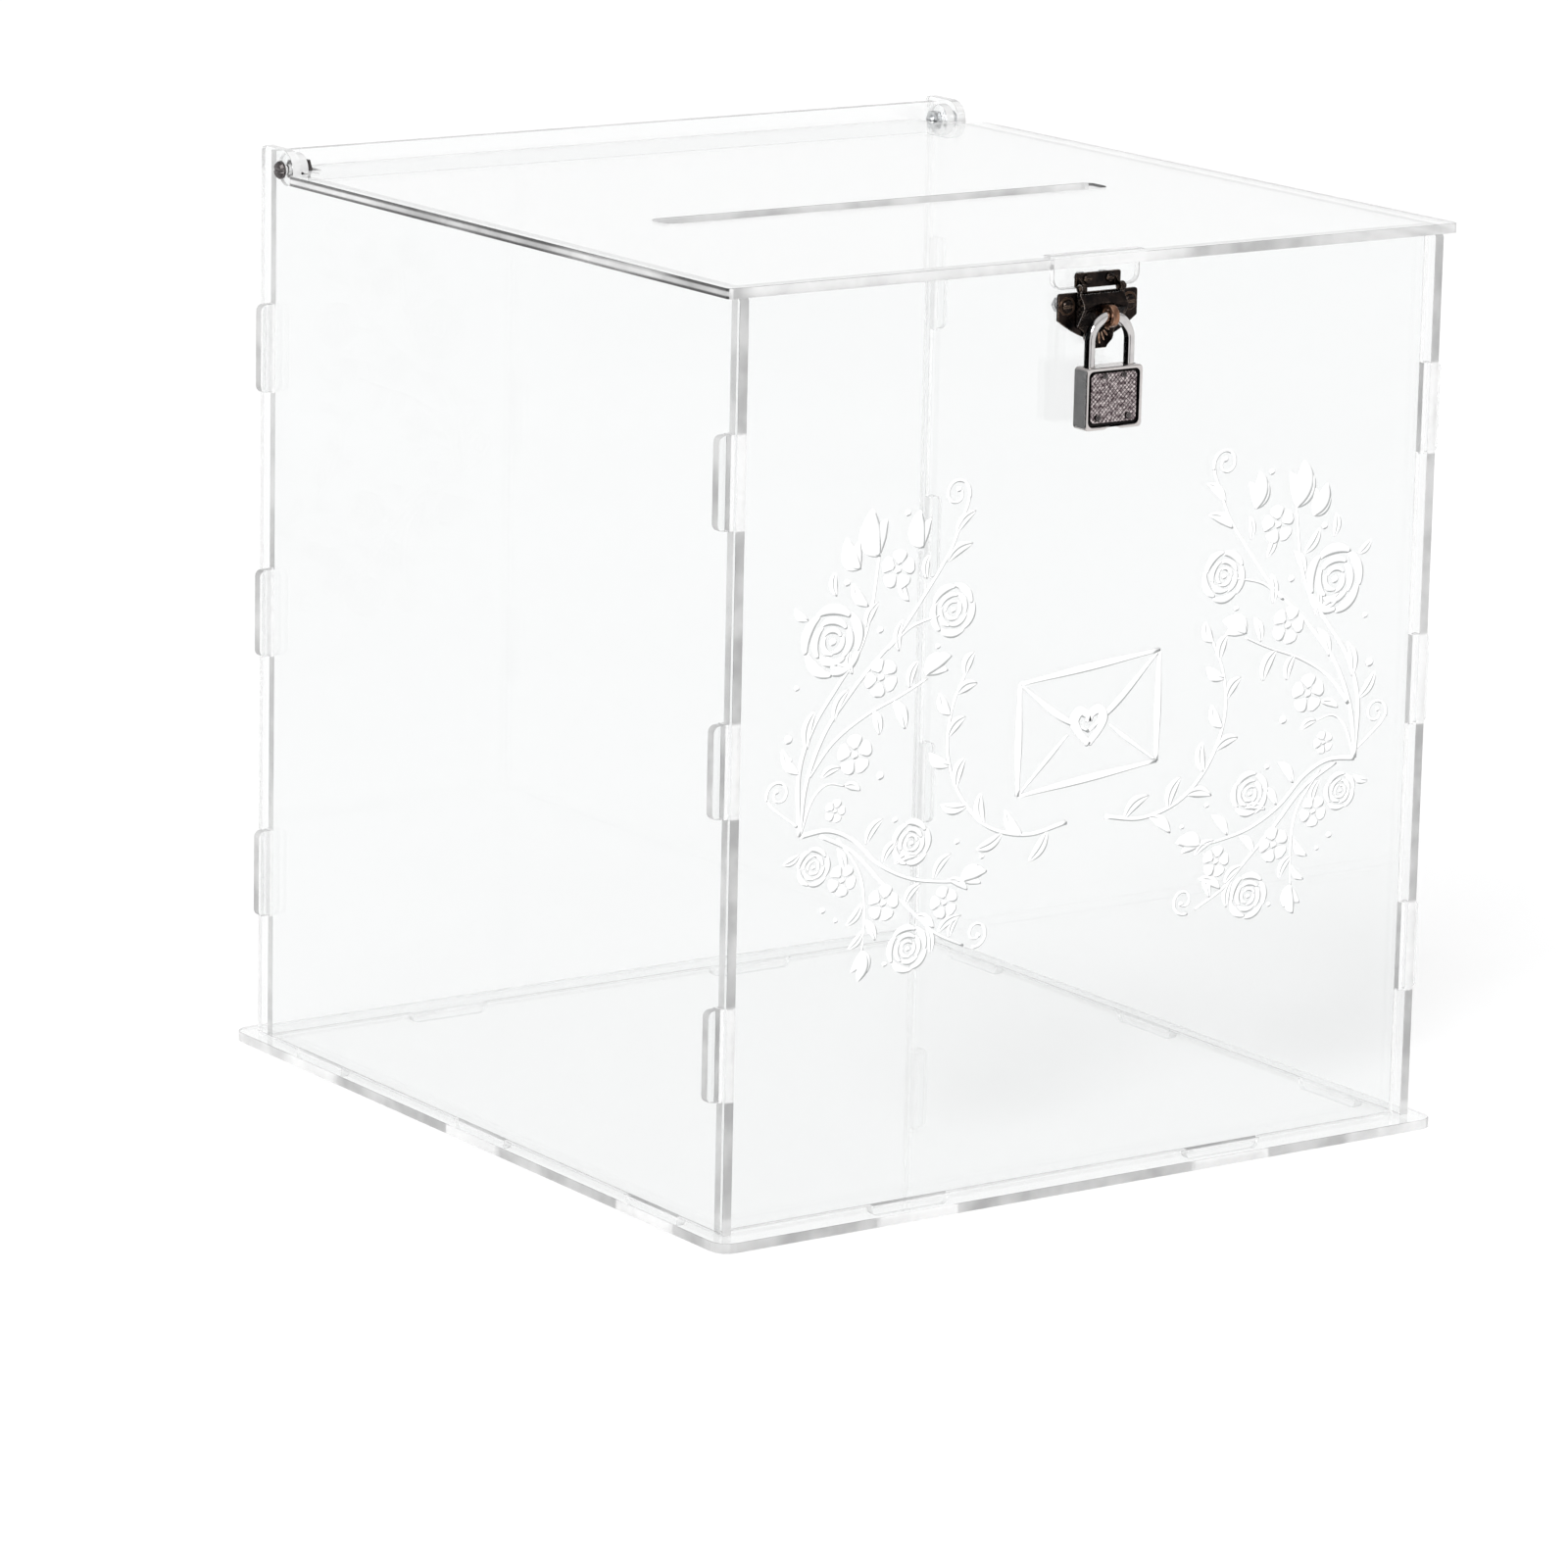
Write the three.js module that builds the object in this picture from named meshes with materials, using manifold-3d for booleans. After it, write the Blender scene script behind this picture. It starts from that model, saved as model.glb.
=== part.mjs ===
// A clear acrylic card box: slotted and tabbed panels, a lid on two pivot screws, a small hasp and a padlock.
// Millimetres, +Z up, the front faces -Y, and the origin is on the ground below the middle of the box.
import * as THREE from "three";
import { mergeVertices } from "three/addons/utils/BufferGeometryUtils.js";
import Module from "manifold-3d";

const wasm = await Module();
wasm.setup();

// ---- Driving dimensions ----
const SHEET = 3; // acrylic thickness
const WIDTH = 250; // over the side walls
const DEPTH = 250; // over the front and back walls
const WALL_HEIGHT = 268.1; // side and front walls above the base plate
const FOOT = 2.5; // the wall tabs stand this far below the base plate
const PLAY = 0.15; // clearance between a tab and its slot
const GLUE = 0.1; // clearance between two faces that are bonded or rest on each other

const TAB_LENGTH = 27;
const TAB_CORNER = 2;
const TAB_PROUD = 3.8; // side tabs beyond the side walls' outer faces
const SIDE_TAB_HEIGHTS = [52, 134, 216]; // tab centres above the base plate
const SIDE_FEET = [-92, 0, 92]; // tab centres under the side walls, along Y
const END_FEET = [-57, 57]; // tab centres under the front and back walls, along X
const SIDE_WALL_END = 3.4; // side walls run this far past the front and back walls

const BASE_OVER_X = 5.2;
const BASE_OVER_Y = 10.5;
const BASE_CORNER = 5.5;

const LID_GAP = 0.2; // under the lid when it is closed
const LID_OVER_X = 4.5;
const LID_OVER_Y = 4.4;
const LID_CORNER = 1.5;
const LID_REAR_GAP = 0.3; // between the lid and the back wall
const LID_STEP = 11; // in front of the hinge axis the lid narrows to fit between the ears
const CARD_SLOT = { length: 160, width: 10.5, y: -20.3, corner: 3 };

const BACK_RISE = 5; // back wall above the closed lid
const EAR_RADIUS = 6.5;
const EAR_RISE = 6.2; // ear's top above the hinge axis
const EAR_CORNER = { front: 6, rear: 2 };
const WALL_CORNER = 1; // top front corner of a side wall
const HINGE_INSET = 8.5; // hinge axis in front of the back wall's rear face
const LUG = { radius: 5, gap: 0.4, tail: 10.7, play: 0.1 };
const PIVOT_SCREW = { radius: 1.5, head: 2.75, headHeight: 1.8, reach: 9.8 };
const PIVOT_NUT = { radius: 3.17, height: 2.4, hole: 1.55 };
const NUT_ROOM = { x: 4.3, y: 5.2, corner: 1 }; // cut out of the lid's rear corners round a pivot nut

const HASP_TAB = { half: 15, headHalf: 16.5, below: 6.5, corner: 3, proud: 0.2, headCorner: 0.8 };
const LEAF = { half: 8, height: 4.4, bottom: 6.7, sheet: 0.8, corner: 0.6 }; // bottom: below the lid
const LEAF_EAR = { sheet: 0.8, starts: [-6.8, 6], hole: 0.65 }; // starts: each ear's left face
const STRAP = { half: 7.8, sheet: 0.75, pivotOut: 2.5, pivotBelow: 6.6, end: 1.4, hole: 0.7 };
const STRAP_SLOT = { half: 1.45, top: 4.2, bottom: 12.7 }; // heights below the strap's pivot
const LOBE = { half: 5.25, tip: 1.6, corner: 2 };
const SHIELD = { half: 14, top: 7.8, straight: 7.8, point: 6.4, sheet: 1, corner: 0.8 }; // top: below the lid
const STAPLE = { out: 7, radius: 3.3, hole: 1.9, half: 1.1, neckHalf: 1.85, below: 6.35 };

const LEAF_SCREW = { radius: 0.75, head: 1.4, headHeight: 0.8, reach: 5.75, hole: 0.85, x: 4, below: 4.2 };
const LEAF_NUT = { radius: 1.85, height: 1.2, hole: 0.8 };
const SHIELD_SCREW = { radius: 1, head: 1.9, headHeight: 1, reach: 6.5, hole: 1.1, x: 11, below: 3.7 };
const SHIELD_NUT = { radius: 2.31, height: 1.6, hole: 1.05 };
const SNUG = 0.05; // clearance at a fastener's head or shank

const CASE = { half: 10, height: 18, depth: 6, corner: 1.2, recess: 1, rim: 1, windowCorner: 1.6 };
const FINGER_NOTCH = { radius: 6, below: 5.2 }; // its centre is below the case's underside
const PANEL = { half: 8.2, bottom: 1.9, top: 16.4, corner: 2, sheet: 0.8, gap: 0.1 };
const RIVET = { hole: 0.55, places: [[-3.4, 15.5], [3.4, 15.5], [-5.4, 3.6], [5.4, 3.6]] };
const SHACKLE = { wire: 1.55, spread: 7, crown: 32.15, heel: 5.5, toe: 11.7, play: 0.2, notch: 0.55 };
const PLUG = { radius: 1.85, bore: 1.95, bottom: 0.9, keyway: 6 };
const LATCH = { low: 12.9, high: 14.5, left: -2.2, right: 6.2, front: -1.7, back: 1.4 };
const LATCH_ROOM = { left: -4.9, right: 6.5, back: 1.7, above: 0.3 };
const LATCH_FORK = { half: 0.95, front: -0.9 };
const CRANK = { offset: 1.1, radius: 0.45 };
const SPRING = {
  turns: 4, perTurn: 8, radius: 0.6, wire: 0.14, left: -4.7, right: -2.4, inset: 0.15, y: -0.15,
};

const BASE_TOP = FOOT + SHEET;
const WALL_TOP = BASE_TOP + WALL_HEIGHT;
const LID_BOTTOM = WALL_TOP + LID_GAP;
const LID_TOP = LID_BOTTOM + SHEET;
const HINGE_Y = DEPTH / 2 - HINGE_INSET;
const HINGE_Z = LID_TOP;

// ---- Shape helpers ----
const vec = (x, y) => new THREE.Vector2(x, y);

// The corners of a closed outline as [x, y, radius]: a corner with a radius becomes an arc.
function outline(corners, steps = 4) {
  return corners.flatMap(([x, y, radius = 0], i) => {
    const corner = vec(x, y);
    if (!radius) return [corner];
    const back = vec(...corners.at(i - 1)).sub(corner).normalize();
    const ahead = vec(...corners[(i + 1) % corners.length]).sub(corner).normalize();
    const half = Math.acos(back.dot(ahead)) / 2;
    const centre = back.clone().add(ahead).setLength(radius / Math.sin(half)).add(corner);
    const start = back.clone().multiplyScalar(radius / Math.tan(half)).add(corner);
    const sweep = Math.atan2(-back.cross(ahead), -back.dot(ahead));
    return Array.from({ length: steps + 1 }, (_, k) =>
      start.clone().rotateAround(centre, (sweep * k) / steps),
    );
  });
}

function rectangle(x0, x1, y0, y1, radius = 0) {
  return outline([[x0, y0, radius], [x1, y0, radius], [x1, y1, radius], [x0, y1, radius]]);
}

function circle(x, y, radius, sides = 24) {
  return Array.from({ length: sides }, (_, k) =>
    vec(radius, 0).rotateAround(vec(0, 0), (2 * Math.PI * k) / sides).add(vec(x, y)),
  );
}

// Corners along the edge from a to b, with tabs that stand out on its right-hand side.
function tabbedEdge(a, b, centres, reach) {
  const along = vec(...b).sub(vec(...a)).normalize();
  const out = vec(along.y, -along.x);
  const at = (s, d, radius = 0) => {
    const p = vec(...a).addScaledVector(along, s).addScaledVector(out, d);
    return [p.x, p.y, radius];
  };
  const tabs = centres.flatMap((c) => [
    at(c - TAB_LENGTH / 2, 0),
    at(c - TAB_LENGTH / 2, reach, TAB_CORNER),
    at(c + TAB_LENGTH / 2, reach, TAB_CORNER),
    at(c + TAB_LENGTH / 2, 0),
  ]);
  return [a, ...tabs];
}

function extruded(points, low, high, holes = []) {
  const settings = { depth: high - low, bevelEnabled: false };
  const prism = new THREE.ExtrudeGeometry(new THREE.Shape(points), settings).translate(0, 0, low);
  if (!holes.length) return prism;
  return carve([prism], holes.map((hole) => extruded(hole, low - 1, high + 1)));
}

const AXIS = {
  x: new THREE.Vector3(1, 0, 0),
  y: new THREE.Vector3(0, 1, 0),
  z: new THREE.Vector3(0, 0, 1),
};
const YZX = new THREE.Matrix4().makeBasis(AXIS.y, AXIS.z, AXIS.x);
const XZY = new THREE.Matrix4().makeBasis(AXIS.x, AXIS.z, AXIS.y.clone().negate());

// Prisms: the outline is in (y, z), (x, z) or (x, y), and the prism runs between two planes.
const alongX = (points, x0, x1, holes) => extruded(points, x0, x1, holes).applyMatrix4(YZX);
const alongY = (points, y0, y1, holes) => extruded(points, -y1, -y0, holes).applyMatrix4(XZY);
const alongZ = (points, z0, z1, holes) => extruded(points, z0, z1, holes);
const block = (x0, x1, y0, y1, z0, z1) => alongZ(rectangle(x0, x1, y0, y1), z0, z1);

// A turned piece about the Y axis, from [radius, y] points that start and end on the axis.
function turned(profile, sides = 16) {
  return new THREE.LatheGeometry(profile.map(([r, y]) => vec(r, y)), sides);
}

function solid(geometry) {
  const bare = geometry.clone();
  bare.deleteAttribute("normal");
  bare.deleteAttribute("uv");
  const merged = mergeVertices(bare, 1e-4);
  return new wasm.Manifold(
    new wasm.Mesh({
      numProp: 3,
      vertProperties: new Float32Array(merged.attributes.position.array),
      triVerts: new Uint32Array(merged.index.array),
    }),
  );
}

// One geometry from the pieces in joined, less the pieces in cut.
function carve(joined, cut = []) {
  let body = joined.map(solid).reduce((a, b) => a.add(b));
  for (const tool of cut) body = body.subtract(solid(tool));
  const mesh = body.getMesh();
  const geometry = new THREE.BufferGeometry();
  geometry.setAttribute("position", new THREE.BufferAttribute(mesh.vertProperties, 3));
  geometry.setIndex(new THREE.BufferAttribute(mesh.triVerts, 1));
  geometry.computeVertexNormals();
  return geometry;
}

// The mirror image in X of a geometry without an index: each triangle's turn is put right again.
function mirrorX(geometry) {
  const mirrored = geometry.clone().scale(-1, 1, 1);
  const position = mirrored.attributes.position;
  for (let i = 0; i < position.count; i += 3) {
    const [a, b] = [i + 1, i + 2].map((k) => new THREE.Vector3().fromBufferAttribute(position, k));
    position.setXYZ(i + 1, b.x, b.y, b.z);
    position.setXYZ(i + 2, a.x, a.y, a.z);
  }
  return mirrored;
}

// ---- Materials ----
const finish = (color, roughness, metalness, opacity = 1) =>
  new THREE.MeshStandardMaterial({
    color, roughness, metalness, opacity, transparent: opacity < 1,
  });
const clearAcrylic = finish(0xf2f6f6, 0.05, 0, 0.3);
const steel = finish(0xb8babc, 0.3, 1);
const darkBronze = finish(0x2a2421, 0.45, 1);
const wornCopper = finish(0x7a4a30, 0.4, 1);
const chrome = finish(0xb9b4b2, 0.2, 1);
const hatchedNickel = finish(0x77706f, 0.4, 1);
const brass = finish(0x9a7b3c, 0.35, 1);

const box = new THREE.Group();
function add(parent, name, geometry, material) {
  const mesh = new THREE.Mesh(geometry, material);
  mesh.name = name;
  parent.add(mesh);
  return mesh;
}

// ---- Box panels ----
function slotAt(across, along, vertical) {
  const half = TAB_LENGTH / 2 + PLAY;
  const thick = SHEET / 2 + PLAY;
  return vertical
    ? rectangle(across - thick, across + thick, along - half, along + half)
    : rectangle(across - half, across + half, along - thick, along + thick);
}

const wallMid = { x: WIDTH / 2 - SHEET / 2, y: DEPTH / 2 - SHEET / 2 };

function basePlate() {
  const halfX = WIDTH / 2 + BASE_OVER_X;
  const halfY = DEPTH / 2 + BASE_OVER_Y;
  const slots = [-1, 1].flatMap((side) => [
    ...END_FEET.map((x) => slotAt(x, side * wallMid.y, false)),
    ...SIDE_FEET.map((y) => slotAt(side * wallMid.x, y, true)),
  ]);
  const edge = rectangle(-halfX, halfX, -halfY, halfY, BASE_CORNER);
  return alongZ(edge, FOOT, BASE_TOP, slots);
}

// Front or back wall in (x, z): tabs into the side walls and the base, and an optional notch in the top edge.
function endWall(top, notch = []) {
  const half = WIDTH / 2 - SHEET - PLAY;
  const bottom = BASE_TOP + GLUE;
  const reach = WIDTH / 2 + TAB_PROUD - half;
  const heights = SIDE_TAB_HEIGHTS.map((z) => z + BASE_TOP);
  return outline([
    ...tabbedEdge([-half, bottom], [half, bottom], END_FEET.map((x) => x + half), bottom),
    ...tabbedEdge([half, bottom], [half, top], heights.map((z) => z - bottom), reach),
    [half, top],
    ...notch,
    ...tabbedEdge([-half, top], [-half, bottom], heights.map((z) => top - z).reverse(), reach),
  ]);
}

function frontWall() {
  const half = HASP_TAB.half + 2 * PLAY;
  const floor = LID_BOTTOM - HASP_TAB.below - 2 * PLAY;
  const notch = [
    [half, WALL_TOP, 0],
    [half, floor, HASP_TAB.corner],
    [-half, floor, HASP_TAB.corner],
    [-half, WALL_TOP, 0],
  ];
  return alongY(endWall(WALL_TOP, notch), -DEPTH / 2, SHEET - DEPTH / 2, shieldScrewHoles());
}

function backWall() {
  return alongY(endWall(LID_TOP + BACK_RISE), DEPTH / 2 - SHEET, DEPTH / 2);
}

// Side wall in (y, z), with a raised ear at the rear that carries the lid's pivot screw.
function sideWall() {
  const half = DEPTH / 2 + SIDE_WALL_END;
  const bottom = BASE_TOP + GLUE;
  const earTop = HINGE_Z + EAR_RISE;
  const earFront = HINGE_Y - EAR_RADIUS;
  const edge = outline([
    ...tabbedEdge([-half, bottom], [half, bottom], SIDE_FEET.map((y) => y + half), bottom),
    [half, bottom],
    [half, earTop, EAR_CORNER.rear],
    [earFront, earTop, EAR_CORNER.front],
    [earFront, WALL_TOP],
    [-half, WALL_TOP, WALL_CORNER],
  ]);
  const slots = SIDE_TAB_HEIGHTS.flatMap((z) =>
    [-1, 1].map((side) => slotAt(side * wallMid.y, z + BASE_TOP, true)),
  );
  const pivot = circle(HINGE_Y, HINGE_Z, PIVOT_SCREW.radius + SNUG);
  return alongX(edge, 0, SHEET, [...slots, pivot]);
}

// ---- Lid ----
const lugInner = WIDTH / 2 - 2 * SHEET - LUG.gap; // inner face of a hinge lug, from the middle
const lugOuter = lugInner + SHEET;

function lidPanel() {
  const front = -DEPTH / 2 - LID_OVER_Y;
  const rear = DEPTH / 2 - SHEET - LID_REAR_GAP;
  const wide = WIDTH / 2 + LID_OVER_X;
  const step = HINGE_Y - LID_STEP;
  const tongue = lugInner - GLUE;
  const room = { x: lugInner - NUT_ROOM.x, y: HINGE_Y - NUT_ROOM.y };
  const halfEdge = [
    [wide, front, LID_CORNER],
    [wide, step, LID_CORNER],
    [tongue, step, 0],
    [tongue, room.y, 0],
    [room.x, room.y, 0],
    [room.x, rear, NUT_ROOM.corner],
  ];
  const mirrored = halfEdge.map(([x, y, r]) => [-x, y, r]).reverse();
  const { length, width, y, corner } = CARD_SLOT;
  const cardSlot = rectangle(-length / 2, length / 2, y - width / 2, y + width / 2, corner);
  const tabHalf = HASP_TAB.headHalf + PLAY;
  const tabSlot = rectangle(
    -tabHalf, tabHalf, -DEPTH / 2 - PLAY, SHEET - DEPTH / 2 + PLAY,
  );
  return alongZ(outline([...halfEdge, ...mirrored]), LID_BOTTOM, LID_TOP, [cardSlot, tabSlot]);
}

// The tab that carries the hasp: its head is bonded in the lid, and it hangs in the front wall's notch.
function haspTab() {
  const { half, headHalf, below, corner, proud, headCorner } = HASP_TAB;
  const edge = outline([
    [-half, LID_BOTTOM - below, corner],
    [half, LID_BOTTOM - below, corner],
    [half, LID_BOTTOM, 0],
    [headHalf, LID_BOTTOM, 0],
    [headHalf, LID_TOP + proud, headCorner],
    [-headHalf, LID_TOP + proud, headCorner],
    [-headHalf, LID_BOTTOM, 0],
    [-half, LID_BOTTOM, 0],
  ]);
  const holes = [-1, 1].map((side) => circle(side * leafScrew.x, leafScrew.z, LEAF_SCREW.hole, 12));
  return alongY(edge, -DEPTH / 2, SHEET - DEPTH / 2, holes);
}

// A lug about the hinge axis, with a tail that is bonded to the lid's side.
function hingeLug() {
  const tail = rectangle(HINGE_Y - LUG.tail, HINGE_Y, LID_BOTTOM, LID_TOP);
  return carve(
    [alongX(circle(HINGE_Y, HINGE_Z, LUG.radius, 28), 0, SHEET), alongX(tail, 0, SHEET)],
    [alongX(circle(HINGE_Y, HINGE_Z, PIVOT_SCREW.radius + LUG.play), -1, SHEET + 1)],
  );
}

// ---- Fasteners, along +Y from under the head to the tip ----
function screw({ radius, head, headHeight, reach }) {
  const profile = [
    [0, reach], [radius * 0.7, reach], [radius, reach - radius * 0.4], [radius, 0],
    [head, 0], [head, -headHeight * 0.45], [head * 0.8, -headHeight * 0.85], [0, -headHeight],
  ];
  const slotHalf = head * 0.14;
  const slot = block(-head, head, -headHeight - 1, -headHeight * 0.5, -slotHalf, slotHalf);
  return carve([turned(profile.reverse())], [slot]);
}

function nut({ radius, height, hole }) {
  const hexagon = alongY(circle(0, 0, radius, 6), 0, height);
  const bore = alongY(circle(0, 0, hole, 16), -1, height + 1);
  return carve([hexagon], [bore]);
}

// Turns a fastener's +Y onto +X or -X and puts it at a point.
function place(mesh, x, y, z, towardsX = 0) {
  mesh.position.set(x, y, z);
  mesh.rotation.z = (-towardsX * Math.PI) / 2;
}

// ---- Hasp, in a group at the front wall's front face, where -Y is outwards ----
const hasp = new THREE.Group();
hasp.position.y = -DEPTH / 2;
const strapPivot = { out: STRAP.pivotOut, z: LID_BOTTOM - STRAP.pivotBelow };
const leafScrew = { x: LEAF_SCREW.x, z: LID_BOTTOM - LEAF_SCREW.below };
const shieldTop = LID_BOTTOM - SHIELD.top;
const shieldScrew = { x: SHIELD_SCREW.x, z: shieldTop - SHIELD_SCREW.below };
const stapleZ = shieldTop - STAPLE.below;

function shieldScrewHoles() {
  return [-1, 1].map((side) => circle(side * shieldScrew.x, shieldScrew.z, SHIELD_SCREW.hole, 14));
}

// Outline points given as [out, z] from the wall's face, for prisms along X.
const sideView = (points) => points.map(([out, z]) => vec(-out, z)).reverse();

function haspLeaf() {
  const { half, height, bottom, sheet, corner } = LEAF;
  const low = LID_BOTTOM - bottom;
  const { out, z } = strapPivot;
  const plate = alongY(rectangle(-half, half, low, low + height, corner), -GLUE - sheet, -GLUE);
  // From the plate's upper part to its lower part, by way of the pivot.
  const earRoot = sideView([[sheet, low + 3], [out, z + 1.4], [out, z - 1.2], [sheet, low + 0.6]]);
  const ears = LEAF_EAR.starts.flatMap((x) => [
    alongX(circle(-out, z, STRAP.end, 16), x, x + LEAF_EAR.sheet),
    alongX(earRoot, x, x + LEAF_EAR.sheet),
  ]);
  const holes = [-1, 1].map((side) =>
    alongY(circle(side * leafScrew.x, leafScrew.z, LEAF_SCREW.hole, 12), -2, 1),
  );
  const pivotHole = alongX(circle(-out, z, LEAF_EAR.hole, 12), -half - 1, half + 1);
  return carve([plate, ...ears], [...holes, pivotHole]);
}

// Pressed strap: a channel that bulges over the staple's root and ends in a round finger lobe.
function haspStrap() {
  const { half, sheet, end, hole } = STRAP;
  const { out, z } = strapPivot;
  // Each point of the front face is [out from the wall, height].
  const bulge = [[3, z - 1.6], [4.9, z - 4.1], [5.2, z - 5.7], [1.95, z - 11.1]];
  const lobe = [[1.95, z - 14.8], [2.4, z - 16.6], [3, z - 17.4]];
  const front = [...bulge, ...lobe];
  const back = front.map(([o, up]) => [o - sheet, up - (o > 4 ? 0.1 : 0)]).reverse();
  const web = alongX(sideView([...front, ...back].reverse()), -half, half);
  const flangeSide = sideView([
    [1.3, z - 0.7], [3.6, z], ...bulge.slice(0, 3), [1.9, z - 11.2], [1.3, z - 11.2],
  ].reverse());
  const flanges = [-half, half - sheet].flatMap((x) => [
    alongX(flangeSide, x, x + sheet),
    alongX(circle(-out, z, end, 16), x, x + sheet),
  ]);
  const slot = block(-STRAP_SLOT.half, STRAP_SLOT.half, -9, 1, z - STRAP_SLOT.bottom, z - STRAP_SLOT.top);
  // What is cut away on the left of the finger lobe.
  const beside = alongY(
    outline([
      [-half - 1, z - 11],
      [-half, z - 11],
      [-LOBE.half, z - 12.5, 1],
      [-LOBE.half, z - 15, LOBE.corner],
      [-LOBE.tip, z - 17.6, LOBE.corner],
      [-LOBE.tip, z - 19],
      [-half - 1, z - 19],
    ]),
    -9,
    2,
  );
  const pivotHole = alongX(circle(-out, z, hole, 12), -half - 1, half + 1);
  return carve([web, ...flanges], [slot, pivotHole, beside, mirrorX(beside)]);
}

// A short rivet with a round head, from the head towards its tip.
function pivotPin() {
  const profile = [[0, -0.55], [0.8, -0.45], [1, 0], [0.6, 0], [0.6, 2.35], [0, 2.35]];
  return carve([turned(profile)]);
}

// The plate behind the staple: straight sides above a curved point.
function shieldPlate() {
  const { half, straight, point, sheet, corner } = SHIELD;
  const low = shieldTop - straight;
  const steps = 8;
  const curve = Array.from({ length: 2 * steps + 1 }, (_, k) => {
    const share = k / steps - 1;
    return vec(half * share, low - point * (1 - Math.abs(share) ** 1.6));
  });
  const top = outline([[half, low], [half, shieldTop, corner], [-half, shieldTop, corner], [-half, low]]);
  const edge = [...curve, ...top.slice(1, -1)];
  const neckX = STAPLE.half + GLUE;
  const neckZ = STAPLE.neckHalf + PLAY;
  const neckHole = rectangle(-neckX, neckX, stapleZ - neckZ, stapleZ + neckZ);
  return alongY(edge, -GLUE - sheet, -GLUE, [neckHole, ...shieldScrewHoles()]);
}

// A flat ring on a neck that is riveted through the plate.
function stapleEye() {
  const { out, radius, hole, half, neckHalf } = STAPLE;
  const neck = rectangle(-out + radius - 1.2, -0.2, stapleZ - neckHalf, stapleZ + neckHalf);
  return carve(
    [alongX(circle(-out, stapleZ, radius, 24), -half, half), alongX(neck, -half, half)],
    [alongX(circle(-out, stapleZ, hole), -half - 1, half + 1)],
  );
}

// ---- Padlock, in a group at the middle of its case's underside ----
const padlock = new THREE.Group();
padlock.position.set(0, -STAPLE.out, stapleZ - SHACKLE.crown);

function rivetHoles() {
  return RIVET.places.map(([x, z]) => circle(x, z, RIVET.hole, 12));
}

// The case: windows front and back for the panels, two shackle bores, and room for the plug and the latch.
function padlockCase() {
  const { half, height, depth, corner, recess, rim, windowCorner } = CASE;
  const y = depth / 2;
  const window = rectangle(-half + rim, half - rim, rim, height - rim, windowCorner);
  const bore = (x, bottom) => alongZ(circle(x, 0, SHACKLE.wire + SHACKLE.play, 24), bottom, height + 1);
  const { left, right, back, above } = LATCH_ROOM;
  return carve(
    [alongY(rectangle(-half, half, 0, height, corner), -y, y)],
    [
      alongY(window, -y - 1, -y + recess),
      alongY(window, y - recess, y + 1),
      bore(-SHACKLE.spread, SHACKLE.heel - 0.5),
      bore(SHACKLE.spread, SHACKLE.toe - 0.7),
      alongZ(circle(0, 0, PLUG.bore, 24), -1, LATCH.low - 0.2),
      block(left, right, -y + recess - 0.1, back, LATCH.low - above, LATCH.high + above),
      alongY(circle(0, -FINGER_NOTCH.below, FINGER_NOTCH.radius, 36), -y - 1, y + 1),
      ...rivetHoles().map((hole) => alongY(hole, -y, y)),
    ],
  );
}

function padlockPanel() {
  const { half, bottom, top, corner, sheet } = PANEL;
  return alongY(rectangle(-half, half, bottom, top, corner), 0, sheet, rivetHoles());
}

// A rivet through both panels, with a domed head at each end.
function rivet() {
  const head = [[0, -3.35], [0.5, -3.3], [0.85, -3.15], [0.9, -2.95], [0.45, -2.95]];
  const tail = head.map(([r, y]) => [r, -y]).reverse();
  return carve([turned([...head, ...tail], 12)]);
}

// The shackle wire: a long heel leg, a half-round crown, and a short toe leg with a flat for the latch.
function shackle() {
  const { wire, spread, crown, heel, toe } = SHACKLE;
  const spring = crown - spread; // height where the legs meet the crown
  const arc = Array.from({ length: 13 }, (_, k) => {
    const turn = Math.PI * (1 - k / 12);
    return new THREE.Vector3(spread * Math.cos(turn), 0, spring + spread * Math.sin(turn));
  });
  const leg = (x, low) =>
    [0, 1, 2, 3].map((k) => new THREE.Vector3(x, 0, low + ((spring - low) * k) / 4));
  const path = new THREE.CatmullRomCurve3([
    ...leg(-spread, heel), ...arc, ...leg(spread, toe).reverse(),
  ]);
  const section = new THREE.Shape(circle(0, 0, wire, 14));
  const rod = new THREE.ExtrudeGeometry(section, { steps: 44, extrudePath: path, bevelEnabled: false });
  const flat = block(4, spread - SHACKLE.notch, -3, 3, toe - 1, LATCH.high + 0.4);
  return carve([rod], [flat]);
}

// The plug, with a keyway from below and a crank pin on top that works the latch bolt.
function keyPlug() {
  const top = LATCH.low - 0.6;
  const keyway = block(-0.35, 0.35, -1.3, 1.3, 0, PLUG.keyway);
  const wide = alongZ(circle(0, -0.75, 0.75, 20), 0, PLUG.keyway);
  return carve(
    [
      alongZ(circle(0, 0, PLUG.radius, 20), PLUG.bottom, top),
      alongZ(circle(0, CRANK.offset, CRANK.radius, 12), top - 0.5, LATCH.high + 0.2),
    ],
    [keyway, wide],
  );
}

// A bar that meets the flat of the shackle's toe, with a fork for the plug's crank pin.
function latchBolt() {
  const { low, high, left, right, front, back } = LATCH;
  const bar = block(left, right, front, back, low, high);
  const fork = block(-LATCH_FORK.half, LATCH_FORK.half, LATCH_FORK.front, back + 1, low - 1, high + 1);
  return carve([bar], [fork]);
}

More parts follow.
